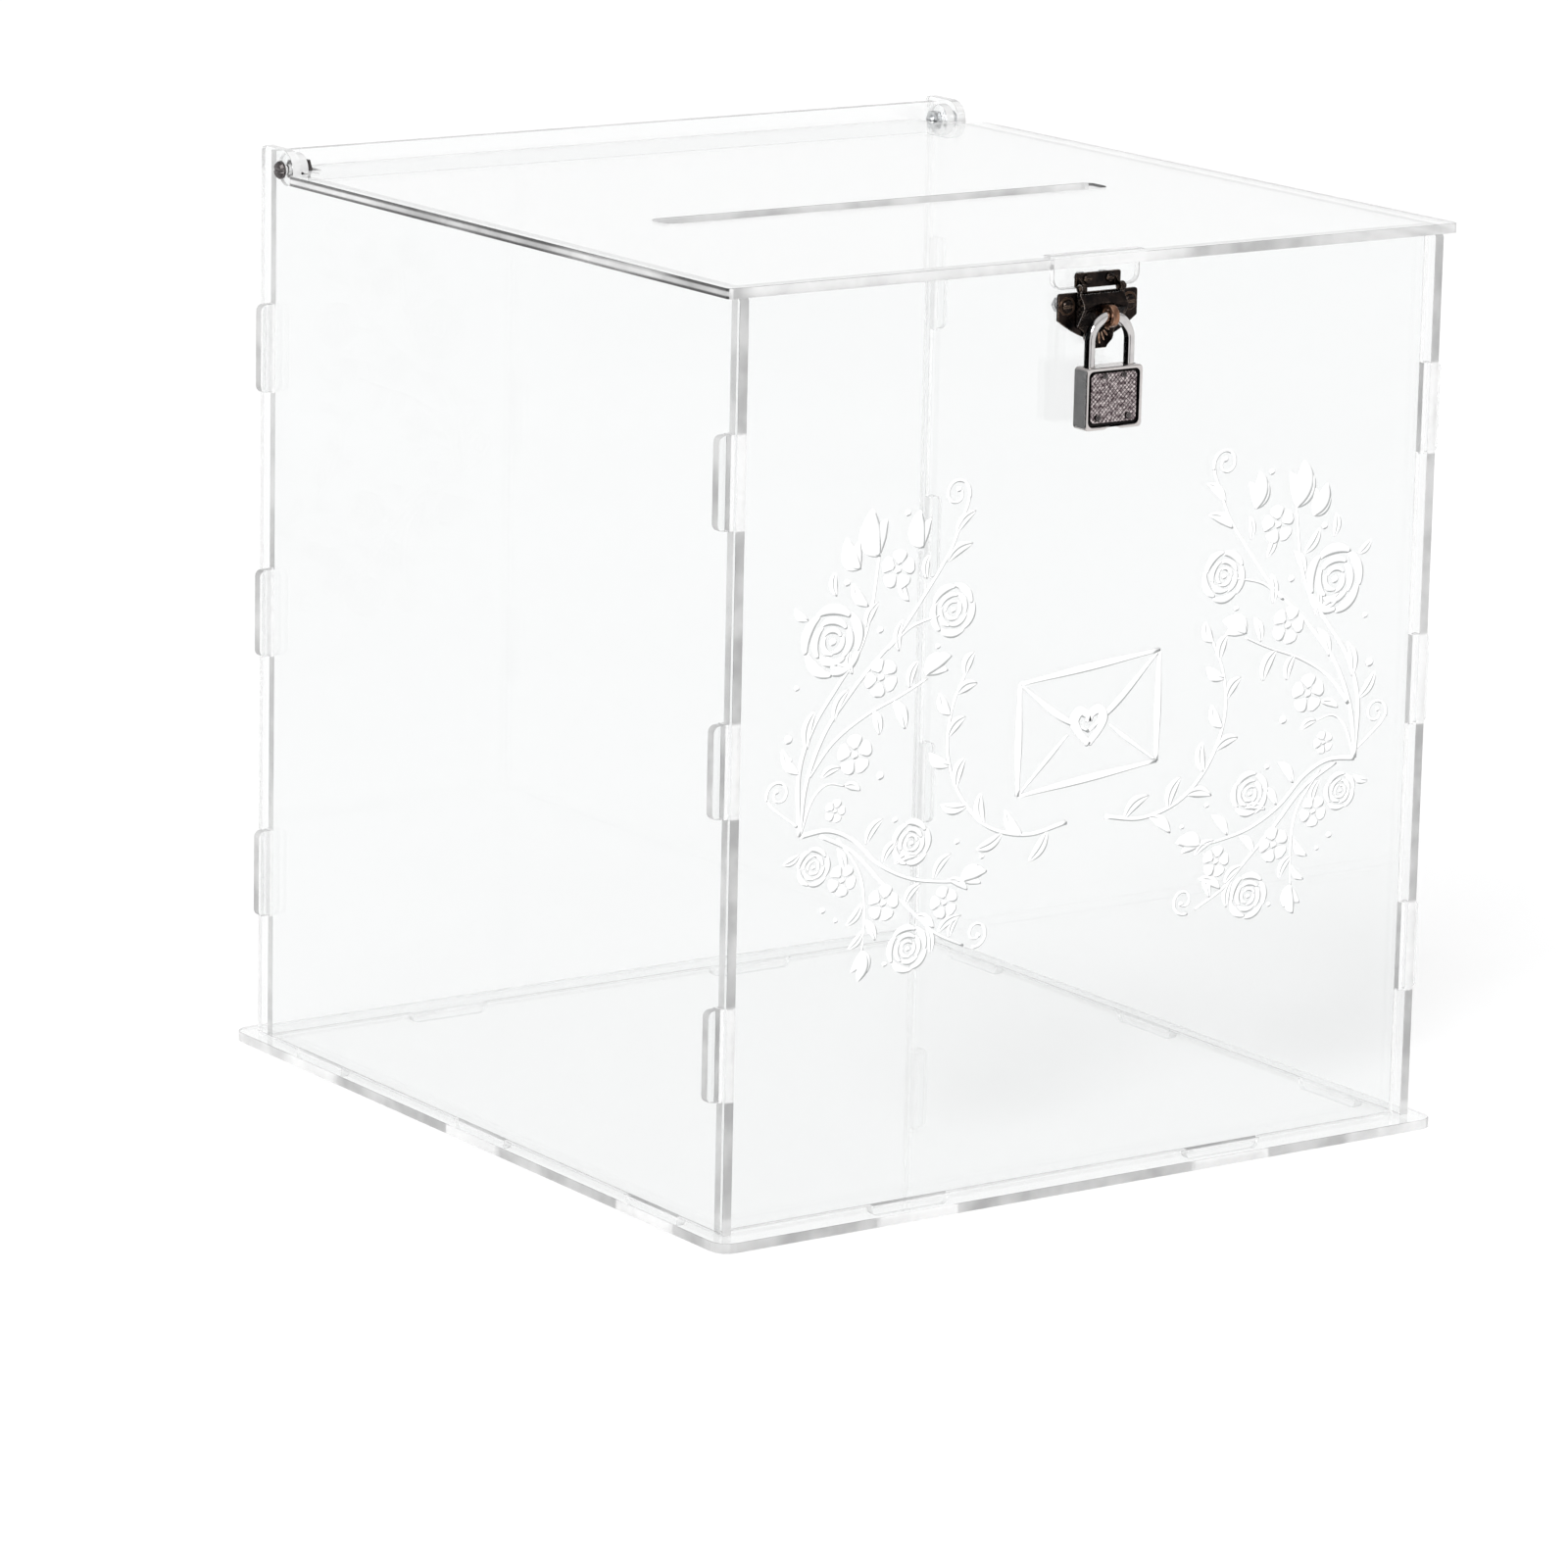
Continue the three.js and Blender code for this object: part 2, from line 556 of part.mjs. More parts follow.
function latchSpring() {
  const { turns, perTurn, radius, wire, left, right, inset, y } = SPRING;
  const steps = turns * perTurn;
  const z = (LATCH.low + LATCH.high) / 2;
  const points = Array.from({ length: steps + 1 }, (_, k) => {
    const angle = (2 * Math.PI * k) / perTurn;
    const x = left + inset + ((right - left - 2 * inset) * k) / steps;
    return new THREE.Vector3(x, y + radius * Math.cos(angle), z + radius * Math.sin(angle));
  });
  const extrudePath = new THREE.CatmullRomCurve3(points);
  const section = new THREE.Shape(circle(0, 0, wire, 6));
  return carve([new THREE.ExtrudeGeometry(section, { steps, extrudePath, bevelEnabled: false })]);
}

// ---- Assembly ----
add(box, "base_plate", basePlate(), clearAcrylic);
add(box, "front_wall", frontWall(), clearAcrylic);
add(box, "back_wall", backWall(), clearAcrylic);
add(box, "left_wall", sideWall(), clearAcrylic).position.x = -WIDTH / 2;
add(box, "right_wall", sideWall(), clearAcrylic).position.x = WIDTH / 2 - SHEET;
add(box, "lid_panel", lidPanel(), clearAcrylic);
add(box, "hasp_tab", haspTab(), clearAcrylic);
add(box, "hinge_lug_left", hingeLug(), clearAcrylic).position.x = -lugOuter;
add(box, "hinge_lug_right", hingeLug(), clearAcrylic).position.x = lugInner;

for (const [side, name] of [[-1, "left"], [1, "right"]]) {
  const pivot = add(box, "hinge_screw_" + name, screw(PIVOT_SCREW), steel);
  place(pivot, side * (WIDTH / 2 + SNUG), HINGE_Y, HINGE_Z, -side);
  const pivotNut = add(box, "hinge_nut_" + name, nut(PIVOT_NUT), steel);
  place(pivotNut, side * (lugInner - PLAY), HINGE_Y, HINGE_Z, -side);

  const leafFixing = add(hasp, "leaf_screw_" + name, screw(LEAF_SCREW), darkBronze);
  place(leafFixing, side * leafScrew.x, -GLUE - LEAF.sheet - SNUG, leafScrew.z);
  const leafNut = add(hasp, "leaf_nut_" + name, nut(LEAF_NUT), steel);
  place(leafNut, side * leafScrew.x, SHEET + PLAY, leafScrew.z);
  const pin = add(hasp, "strap_pin_" + name, pivotPin(), darkBronze);
  place(pin, side * (STRAP.half + PLAY), -strapPivot.out, strapPivot.z, -side);

  const shieldFixing = add(hasp, "staple_screw_" + name, screw(SHIELD_SCREW), darkBronze);
  place(shieldFixing, side * shieldScrew.x, -GLUE - SHIELD.sheet - SNUG, shieldScrew.z);
  const shieldNut = add(hasp, "staple_nut_" + name, nut(SHIELD_NUT), steel);
  place(shieldNut, side * shieldScrew.x, SHEET + PLAY, shieldScrew.z);
}

add(hasp, "hasp_leaf", haspLeaf(), darkBronze);
add(hasp, "hasp_strap", haspStrap(), darkBronze);
add(hasp, "staple_plate", shieldPlate(), darkBronze);
add(hasp, "staple_eye", stapleEye(), wornCopper);

add(padlock, "padlock_shackle", shackle(), chrome);
add(padlock, "padlock_case", padlockCase(), chrome);
const panelBack = CASE.depth / 2 - CASE.recess + PANEL.gap;
add(padlock, "padlock_front_panel", padlockPanel(), hatchedNickel).position.y = -panelBack - PANEL.sheet;
add(padlock, "padlock_back_panel", padlockPanel(), hatchedNickel).position.y = panelBack;
RIVET.places.forEach(([x, z], i) => {
  add(padlock, "padlock_rivet_" + (i + 1), rivet(), chrome).position.set(x, 0, z);
});
add(padlock, "key_plug", keyPlug(), brass);
add(padlock, "latch_bolt", latchBolt(), steel);
add(padlock, "latch_spring", latchSpring(), steel);

hasp.add(padlock);
box.add(hasp);
export default box;
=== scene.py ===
"""Looks for a clear acrylic card box with a bronzed hasp, a small chrome padlock and white flower relief.

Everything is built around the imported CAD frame, in metres, +Z up, the front facing -Y.
"""
import math

import bmesh
import bpy
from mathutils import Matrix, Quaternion, Vector


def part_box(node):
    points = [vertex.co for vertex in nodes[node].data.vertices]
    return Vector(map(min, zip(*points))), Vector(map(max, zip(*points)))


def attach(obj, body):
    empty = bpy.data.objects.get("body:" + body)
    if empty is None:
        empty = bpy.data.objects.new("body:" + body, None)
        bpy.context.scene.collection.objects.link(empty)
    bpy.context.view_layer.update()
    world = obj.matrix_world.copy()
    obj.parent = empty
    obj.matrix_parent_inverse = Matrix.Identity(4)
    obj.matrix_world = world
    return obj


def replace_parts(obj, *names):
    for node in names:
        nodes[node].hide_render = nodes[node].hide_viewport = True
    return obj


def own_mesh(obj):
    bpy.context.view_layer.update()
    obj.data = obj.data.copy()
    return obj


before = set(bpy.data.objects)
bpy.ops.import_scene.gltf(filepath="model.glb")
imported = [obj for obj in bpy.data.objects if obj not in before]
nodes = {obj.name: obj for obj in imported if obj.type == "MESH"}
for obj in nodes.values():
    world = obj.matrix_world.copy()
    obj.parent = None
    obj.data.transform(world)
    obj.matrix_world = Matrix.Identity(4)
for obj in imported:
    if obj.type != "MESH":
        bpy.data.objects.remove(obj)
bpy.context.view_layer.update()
MM = 0.001


# ---- Camera, floor and light ----
CAMERA = {"azimuth": -34.936, "elevation": 13.176, "roll": 1.205, "distance": 2.1879, "lens": 166.33}
LOOK_AT = Vector((-0.01743, -0.00017, 0.09828))
SENSOR_WIDTH = 36
FLOOR_RADIUS = 14
SUN = {"azimuth": -50, "elevation": 32, "strength": 2.2, "spread": 18}
CARD_DISTANCE, CARD_FOOT, CARD_TOP = 0.7, 0.001, 0.3


def direction(azimuth, elevation):
    """Unit vector towards a place seen from the middle: azimuth 0 is in front of the box, at -Y."""
    a, e = math.radians(azimuth), math.radians(elevation)
    return Vector((math.sin(a) * math.cos(e), -math.cos(a) * math.cos(e), math.sin(e)))


def add_object(name, data):
    made = bpy.data.objects.new(name, data)
    bpy.context.scene.collection.objects.link(made)
    return made


def finished_mesh(name, shape, material):
    """Turns a bmesh into a mesh with one material."""
    mesh = bpy.data.meshes.new(name)
    shape.to_mesh(mesh)
    shape.free()
    mesh.materials.append(material)
    return mesh


def add_camera():
    data = bpy.data.cameras.new("camera")
    data.lens = CAMERA["lens"]
    data.sensor_width = SENSOR_WIDTH
    camera = add_object("camera", data)
    back = direction(CAMERA["azimuth"], CAMERA["elevation"])
    camera.location = LOOK_AT + back * CAMERA["distance"]
    camera.rotation_mode = "QUATERNION"
    roll = Quaternion((0, 0, 1), math.radians(CAMERA["roll"]))
    camera.rotation_quaternion = (-back).to_track_quat("-Z", "Y") @ roll
    bpy.context.scene.camera = camera


class Graph:
    """A short way to write a node tree. An input is named by its label, or by i and its number."""

    def __init__(self, tree):
        self.tree = tree

    @classmethod
    def empty(cls, tree):
        tree.nodes.clear()
        return cls(tree)

    def add(self, kind, settings=None, **inputs):
        node = self.tree.nodes.new("ShaderNode" + kind)
        for key, value in (settings or {}).items():
            setattr(node, key, value)
        for key, value in inputs.items():
            self.put(node, key, value)
        return node

    def put(self, node, key, value):
        name = key.replace("_", " ")
        socket = node.inputs[int(key[1:])] if key[0] == "i" and key[1:].isdigit() else node.inputs[name]
        if isinstance(value, bpy.types.NodeSocket):
            self.tree.links.new(value, socket)
        else:
            socket.default_value = value

    def maths(self, operation, a, b=0.5):
        return self.add("Math", {"operation": operation}, i0=a, i1=b).outputs[0]

    def ramp(self, factor, low, high):
        """0 where factor is low, 1 where it is high."""
        settings = {"interpolation_type": "SMOOTHSTEP"}
        return self.add("MapRange", settings, Value=factor, From_Min=low, From_Max=high).outputs[0]

    def blend(self, factor, a, b):
        return self.add("Mix", {"data_type": "RGBA"}, i0=factor, i6=a, i7=b).outputs[2]

    def mix_value(self, factor, a, b):
        return self.add("Mix", {"data_type": "FLOAT"}, i0=factor, i2=a, i3=b).outputs[0]

    def place(self, coordinate="Object"):
        """The X, Y and Z of a place on the object, or of its Normal."""
        return self.add("SeparateXYZ", Vector=self.add("TexCoord").outputs[coordinate]).outputs

    def noise(self, scale, detail=3, stretch=(1, 1, 1)):
        mapping = self.add("Mapping", Vector=self.add("TexCoord").outputs["Object"], Scale=stretch)
        return self.add("TexNoise", Vector=mapping.outputs[0], Scale=scale, Detail=detail).outputs["Fac"]

    def bump(self, height, distance):
        return self.add("Bump", Height=height, Distance=distance, Strength=1.0).outputs[0]

    def finish(self, shader, kind="OutputMaterial"):
        self.tree.links.new(shader.outputs[0], self.add(kind).inputs["Surface"])

    def paint_over(self, mask, colour):
        """Covers the shader's own colour with another where mask is 1."""
        shader = next(n for n in self.tree.nodes if n.type == "BSDF_PRINCIPLED")
        own = shader.inputs["Base Color"].links[0].from_socket
        self.put(shader, "Base_Color", self.blend(mask, own, colour))


def grey(value):
    return (value, value, value, 1)


def new_material(name):
    made = bpy.data.materials.new(name)
    made.use_nodes = True
    return made, Graph.empty(made.node_tree)


def add_floor():
    made, g = new_material("pale_floor")
    tone = g.blend(g.noise(3.0), grey(0.90), grey(0.94))
    g.finish(g.add("BsdfPrincipled", Base_Color=tone, Roughness=0.9, Specular_IOR_Level=0.1))
    shape = bmesh.new()
    bmesh.ops.create_circle(shape, cap_ends=True, segments=64, radius=FLOOR_RADIUS)
    add_object("floor", finished_mesh("floor", shape, made))


def add_world():
    """A studio: white at and below the horizon, a darker wall above it, and a wide soft ceiling light."""
    world = bpy.data.worlds.new("studio")
    world.use_nodes = True
    bpy.context.scene.world = world
    g = Graph.empty(world.node_tree)
    height = g.place("Generated")["Z"]
    wall = g.blend(g.ramp(height, 0.30, 0.40), grey(1.0), grey(0.55))
    ceiling = g.blend(g.ramp(height, 0.55, 0.80), wall, grey(0.85))
    g.finish(g.add("Background", Color=ceiling, Strength=1.0), "OutputWorld")


def add_card(name, turn, half_width, shade):
    """A dark card standing on the floor, turn degrees round from the camera. Only reflections show it."""
    around = Vector((0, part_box("padlock_case")[0].y, 0))
    half_steps = 6
    shape = bmesh.new()
    rows = []
    for k in range(-half_steps, half_steps + 1):
        foot = around + direction(CAMERA["azimuth"] + turn + half_width * k / half_steps, 0) * CARD_DISTANCE
        rows.append([shape.verts.new(foot + Vector((0, 0, z))) for z in (CARD_FOOT, CARD_TOP)])
    for a, b in zip(rows, rows[1:]):
        shape.faces.new((a[0], b[0], b[1], a[1]))
    made, g = new_material(name)
    g.finish(g.add("BsdfDiffuse", Color=grey(shade)))
    card = add_object(name, finished_mesh(name, shape, made))
    card.visible_camera = card.visible_diffuse = card.visible_transmission = card.visible_shadow = False


def add_sun():
    data = bpy.data.lights.new("key", "SUN")
    data.energy = SUN["strength"]
    data.angle = math.radians(SUN["spread"])
    sun = add_object("key", data)
    sun.rotation_mode = "QUATERNION"
    sun.rotation_quaternion = direction(SUN["azimuth"], SUN["elevation"]).to_track_quat("Z", "Y")


add_camera()
add_floor()
add_world()
add_sun()
add_card("black_card", -56, 44, 0.002)
add_card("narrow_card", 24, 6, 0.02)
bpy.context.scene.view_settings.view_transform = "Standard"


# ---- Materials ----
ACRYLIC_IOR = 1.49
PAINTED_SHADE_SIDE = (0.72, 0.0, -0.69)
FACE_TINT, EDGE_TINT = (0.955, 0.960, 0.960, 1), grey(0.80)


def acrylic(axis, banded=None):
    """Clear cast sheet whose thickness runs along one axis; its sawn edges are frosted and catch the light.
    banded names a lying sheet whose ends that face X get two painted dark lines, painted shade, along a pale
    middle."""
    made, g = new_material("acrylic_" + (banded or axis))
    normal = g.place("Normal")
    flat = g.ramp(g.maths("ABSOLUTE", normal[axis.upper()]), 0.5, 0.8)
    smudge = g.ramp(g.noise(9, 4), 0.45, 0.8)
    face_rough = g.maths("MULTIPLY", smudge, 0.008)
    edge_rough = g.maths("ADD", g.maths("MULTIPLY", g.noise(160, 2), 0.2), 0.08)
    rough = g.mix_value(flat, edge_rough, face_rough)
    frost = g.ramp(g.noise(60, 3), 0.3, 0.7)
    edge_clear = g.maths("SUBTRACT", 0.60, g.maths("MULTIPLY", frost, 0.24))
    clear = g.mix_value(flat, edge_clear, 1.0)
    tint = g.blend(flat, EDGE_TINT, FACE_TINT)
    if banded:
        low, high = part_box(banded)
        # Painted shade: two dark lines along the sheet's X-facing ends.
        across = g.maths("ABSOLUTE", g.maths("SUBTRACT", g.place()["Z"], (low.z + high.z) / 2))
        line = g.ramp(across, 0.35 * MM, 0.95 * MM)
        painted_dark_line = g.maths("MULTIPLY", line, g.ramp(g.noise(40, 4, stretch=(1, 0.3, 4)), 0.28, 0.5))
        faces_x = g.ramp(g.maths("ABSOLUTE", normal["X"]), 0.5, 0.8)
        tint = g.blend(g.maths("MULTIPLY", painted_dark_line, faces_x), tint, grey(0.09))
    body = g.add(
        "BsdfPrincipled", Base_Color=tint, Roughness=rough, Transmission_Weight=clear, IOR=ACRYLIC_IOR
    )
    # Lamps and light that the floor scatters go straight through, so the sheets throw no hard shadow.
    through = g.add("BsdfTransparent", Color=grey(0.99))
    path = g.add("LightPath")
    shader = body
    for ray in ("Is Shadow Ray", "Is Diffuse Ray"):
        shader = g.add("MixShader", Fac=path.outputs[ray], i1=shader.outputs[0], i2=through.outputs[0])
    g.finish(shader)
    return made


def metal(name, colours, roughness, wear_and_highlight=None, grain=400, dent=0.00002):
    """Cast or plated metal in two patchy tones, unevenly polished, with its edges turned to a third tone,
    partly wear and partly painted highlight.
    """
    made, g = new_material(name)
    patches = g.ramp(g.noise(grain, 4), 0.35, 0.65)
    colour = g.blend(patches, (*colours[0], 1), (*colours[1], 1))
    if wear_and_highlight:
        # Edge tone: partly wear, partly painted highlight.
        soft = g.add("Bevel", {"samples": 6}, Radius=0.00035).outputs[0]
        sharp = g.add("NewGeometry").outputs["Normal"]
        turn = g.add("VectorMath", {"operation": "DOT_PRODUCT"}, i0=soft, i1=sharp).outputs["Value"]
        edge = g.ramp(turn, 0.985, 0.86)
        edge = g.maths("MULTIPLY", edge, g.ramp(g.noise(grain * 1.7, 3), 0.3, 0.6))
        colour = g.blend(edge, colour, (*wear_and_highlight, 1))
    spread = g.maths("MULTIPLY", g.noise(grain * 2.5, 2), roughness[1] - roughness[0])
    rough = g.maths("ADD", spread, roughness[0])
    relief = g.bump(g.noise(grain * 1.3, 4), dent)
    g.finish(g.add("BsdfPrincipled", Base_Color=colour, Metallic=1.0, Roughness=rough, Normal=relief))
    return made


def printed_white():
    """Thick white print: matte and faintly uneven, with painted shade in grey on its lower right flanks."""
    made, g = new_material("white_print")
    tone = g.blend(g.noise(260, 3), grey(0.84), grey(0.92))
    normal = g.add("TexCoord").outputs["Normal"]
    lean = g.add("VectorMath", {"operation": "DOT_PRODUCT"}, i0=normal, i1=PAINTED_SHADE_SIDE).outputs["Value"]
    # Painted shade: flanks that lean to the lower right turn grey.
    tone = g.blend(g.ramp(lean, 0.06, 0.26), tone, (0.36, 0.37, 0.37, 1))
    rough = g.add("MapRange", Value=g.noise(700, 2), To_Min=0.4, To_Max=0.65).outputs[0]
    relief = g.bump(g.noise(1500, 3), 0.00002)
    g.finish(g.add("BsdfPrincipled", Base_Color=tone, Roughness=rough, Normal=relief))
    return made


def paint_groove_shade(made):
    """Painted shade, near black, in the grooves of a plate that is cut by two sets of slanting lines."""
    g = Graph(made.node_tree)
    place = g.place()
    x = place["X"]
    z = g.maths("SUBTRACT", place["Z"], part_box("padlock_case")[0].z)
    scale = 1 / (math.sqrt(2) * HATCH["pitch"] * MM)
    u = g.maths("MULTIPLY", g.maths("ADD", x, z), scale)
    v = g.maths("MULTIPLY", g.maths("SUBTRACT", x, z), scale)
    groove = g.maths("MINIMUM", g.maths("PINGPONG", u, 0.5), g.maths("PINGPONG", v, 0.5))
    groove_shade = g.ramp(g.maths("ADD", groove, g.maths("MULTIPLY", g.noise(1400, 2), 0.16)), 0.24, 0.10)
    # Painted shade: the grooves go near black.
    g.paint_over(groove_shade, GROOVE_SHADE)
    return made


def paint_dark_reflection_left(made, start, full, shade):
    """Paints a dark reflection on what faces left, darker as the normal's lean to -X goes from start to full.
    """
    g = Graph(made.node_tree)
    g.paint_over(g.ramp(g.place("Normal")["X"], -start, -full), grey(shade))
    return made


def paint_flank_sheen(made):
    """Paints a speckled pale grey sheen on the strap's left flank, as light from the left gives it."""
    g = Graph(made.node_tree)
    turned = g.ramp(g.place("Normal")["X"], -0.6, -0.9)
    g.paint_over(g.maths("MULTIPLY", turned, g.ramp(g.noise(1600, 3), 0.36, 0.56)), (0.34, 0.32, 0.31, 1))
    return made


def paint_recess_shade(made):
    """Paints shade near black on the floor and sides of the padlock case's window, front and back."""
    low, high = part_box("padlock_case")
    g = Graph(made.node_tree)
    place = g.place()
    mask = 1.0
    for k, margin in enumerate((CASE_RIM, CASE_SKIN, CASE_RIM)):
        away = g.maths("ABSOLUTE", g.maths("SUBTRACT", place[k], (low[k] + high[k]) / 2))
        inside = g.maths("LESS_THAN", away, (high[k] - low[k]) / 2 - margin)
        mask = g.maths("MULTIPLY", mask, inside)
    # Painted shade: the window's floor and sides go near black.
    g.paint_over(mask, RECESS_SHADE)
    return made


HATCH = {"pitch": 0.92, "depth": 0.24, "margin": 0.75, "corner": 2.0}  # millimetres
CASE_RIM, CASE_SKIN = 0.96 * MM, 0.08 * MM
# Colours of painted shade: in the hatch grooves, then in the case's window.
GROOVE_SHADE, RECESS_SHADE = (0.012, 0.010, 0.010, 1), (0.012, 0.011, 0.011, 1)
BRONZE_TONES = [(0.008, 0.007, 0.007), (0.022, 0.016, 0.014)]
ACRYLIC = {axis: acrylic(axis) for axis in "xyz"}
ACRYLIC["lid_panel"] = acrylic("z", "lid_panel")
STEEL = metal("steel", [(0.62, 0.63, 0.64), (0.50, 0.51, 0.52)], (0.16, 0.34), grain=900)
BRONZE = metal("dark_bronze", BRONZE_TONES, (0.16, 0.36), wear_and_highlight=(0.42, 0.30, 0.22))
COPPER = metal("worn_copper", [(0.34, 0.18, 0.11), (0.12, 0.06, 0.04)], (0.18, 0.4), wear_and_highlight=(0.85, 0.62, 0.46))
BROWNED_TONES = [(0.075, 0.048, 0.034), (0.035, 0.024, 0.018)]
BROWNED = metal("browned_boss", BROWNED_TONES, (0.2, 0.4), wear_and_highlight=(0.36, 0.19, 0.13))
RIVET_TONES = [(0.10, 0.09, 0.09), (0.05, 0.045, 0.045)]
DARK_RIVET = metal("dark_rivet", RIVET_TONES, (0.12, 0.3), wear_and_highlight=(0.6, 0.57, 0.56))
# Painted sheen on the strap's left flank.
STRAP = paint_flank_sheen(metal("bronze_with_flank_sheen", BRONZE_TONES, (0.16, 0.36), wear_and_highlight=(0.5, 0.38, 0.30)))
SHACKLE_TONES = [(0.62, 0.60, 0.59), (0.55, 0.53, 0.53)]
SHACKLE_CHROME = metal("shackle_chrome", SHACKLE_TONES, (0.05, 0.14), dent=0.000003)
# Painted dark reflection on the left-facing half of the shackle wire.
SHACKLE_CHROME = paint_dark_reflection_left(SHACKLE_CHROME, 0.60, 0.72, 0.008)
CHROME = metal("chrome", [(0.60, 0.58, 0.57), (0.52, 0.50, 0.50)], (0.06, 0.2), dent=0.000006)
NICKEL = metal("hatched_nickel", [(0.72, 0.64, 0.64), (0.15, 0.11, 0.12)], (0.10, 0.28), grain=950)
# Painted shade in the hatch grooves.
NICKEL = paint_groove_shade(NICKEL)
BRASS = metal("brass", [(0.55, 0.38, 0.14), (0.42, 0.28, 0.10)], (0.2, 0.4))
CASE_TONES = [(0.62, 0.58, 0.57), (0.57, 0.54, 0.53)]
CASE = metal("chrome_case", CASE_TONES, (0.07, 0.15), grain=1300, dent=0.000004)
# Painted dark reflection on the case's left flank.
CASE = paint_recess_shade(paint_dark_reflection_left(CASE, 0.75, 0.95, 0.16))
METALS = {
    "steel": STEEL, "dark_bronze": BRONZE, "worn_copper": COPPER, "chrome": CHROME,
    "hatched_nickel": NICKEL, "brass": BRASS,
}
SHEET_AXIS = {
    "base_plate": "z", "lid_panel": "z", "front_wall": "y", "back_wall": "y", "hasp_tab": "y",
    "left_wall": "x", "right_wall": "x", "hinge_lug_left": "x", "hinge_lug_right": "x",
}


def soften(node, width):
    """Joins the faces of a CAD node at their corners and rounds its sharp edges."""
    weld = node.modifiers.new("weld", "WELD")
    weld.merge_threshold = 0.002 * MM
    dissolve = node.modifiers.new("dissolve", "DECIMATE")
    dissolve.decimate_type = "DISSOLVE"
    dissolve.angle_limit = math.radians(0.5)
    bevel = node.modifiers.new("bevel", "BEVEL")
    bevel.width = width
    bevel.segments = 2
    bevel.limit_method = "ANGLE"
    bevel.angle_limit = math.radians(40)
    bevel.use_clamp_overlap = False


ROUNDING = {
    "hasp_strap": 0.16, "hasp_leaf": 0.12, "staple_plate": 0.14, "staple_eye": 0.35, "padlock_case": 0.28,
    "key_plug": 0.1, "latch_bolt": 0.1,
}
for name, node in nodes.items():
    if name in SHEET_AXIS:
        node.data.materials[0] = ACRYLIC.get(name) or ACRYLIC[SHEET_AXIS[name]]
        soften(node, 0.12 * MM)
    else:
        node.data.materials[0] = METALS[node.data.materials[0].name.split(".")[0]]
        soften(node, ROUNDING.get(name, 0.06) * MM)
nodes["padlock_case"].data.materials[0] = CASE
nodes["hasp_strap"].data.materials[0] = STRAP
for name in ("hinge_screw_left", "hinge_nut_left", *(f"padlock_rivet_{n}" for n in (1, 2, 3, 4))):
    nodes[name].data.materials[0] = DARK_RIVET


# ---- Metal pieces that are finer than the CAD solids ----
TOE_LIFT, FLAT_INSET, FLAT_RISE, END_TAPER = 6.2 * MM, 0.55 * MM, 0.4 * MM, 0.8
SPRING_WIRE = 0.13 * MM


def new_piece(name, shape, material, body):
    """Turns a bmesh into a smooth-shaded piece that rides on a body."""
    bmesh.ops.recalc_face_normals(shape, faces=shape.faces)
    made = add_object(name, finished_mesh(name, shape, material))
    for face in made.data.polygons:
        face.use_smooth = True
    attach(made, body)
    return made


def bridge(shape, rings):
    """Quads between each closed ring of vertices and the next."""
    for a, b in zip(rings, rings[1:]):
        for i in range(len(a)):
            j = (i + 1) % len(a)
            shape.faces.new((a[i], a[j], b[j], b[i]))


def skin(shape, rings):
    """A closed tube through rings of points."""
    made = [[shape.verts.new(p) for p in ring] for ring in rings]
    bridge(shape, made)
    shape.faces.new(made[0])
    shape.faces.new(made[-1][::-1])


def smooth_shackle():
    """The bent wire with long smooth curves. The toe leg keeps the flat that the latch bolt meets."""
    low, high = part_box("padlock_shackle")
    wire = (high.y - low.y) / 2
    middle = (low + high) / 2
    spread = (high.x - low.x) / 2 - wire
    spring = high.z - wire - spread
    toe = low.z + TOE_LIFT
    flat_x = middle.x + spread - FLAT_INSET
    flat_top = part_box("latch_bolt")[1].z + FLAT_RISE
    leg_steps, bow_steps, sides = 24, 48, 28
    path = [Vector((-spread, 0, low.z + (spring - low.z) * k / leg_steps)) for k in range(leg_steps)]
    path += [
        Vector((-spread * math.cos(a), 0, spring + spread * math.sin(a)))
        for a in (math.pi * k / bow_steps for k in range(bow_steps + 1))
    ]
    path += [Vector((spread, 0, spring + (toe - spring) * k / leg_steps)) for k in range(1, leg_steps + 1)]
    last = len(path) - 1
    rings = []
    for k, centre in enumerate(path):
        ahead = (path[min(k + 1, last)] - path[max(k - 1, 0)]).normalized()
        side = Vector((ahead.z, 0, -ahead.x))
        radius = wire * (END_TAPER if k in (0, last) else 1)
        ring = []
        for n in range(sides):
            a = 2 * math.pi * n / sides
            p = centre + side * radius * math.cos(a) + Vector((0, radius * math.sin(a), 0))
            if p.x > 0 and p.z < flat_top:
                p.x = max(p.x, flat_x)
            ring.append(p + Vector((middle.x, middle.y, 0)))
        rings.append(ring)
    shape = bmesh.new()
    skin(shape, rings)
    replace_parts(new_piece("shackle_wire", shape, SHACKLE_CHROME, "shackle"), "padlock_shackle")


RIVETS = ((-3.4, 15.5), (3.4, 15.5), (-5.4, 3.6), (5.4, 3.6))  # x, z in millimetres from the case's foot
DISH_RADIUS, DISH_WIDTH = 1.15, 0.35
GROOVE_WIDTH = 0.24  # of a pitch


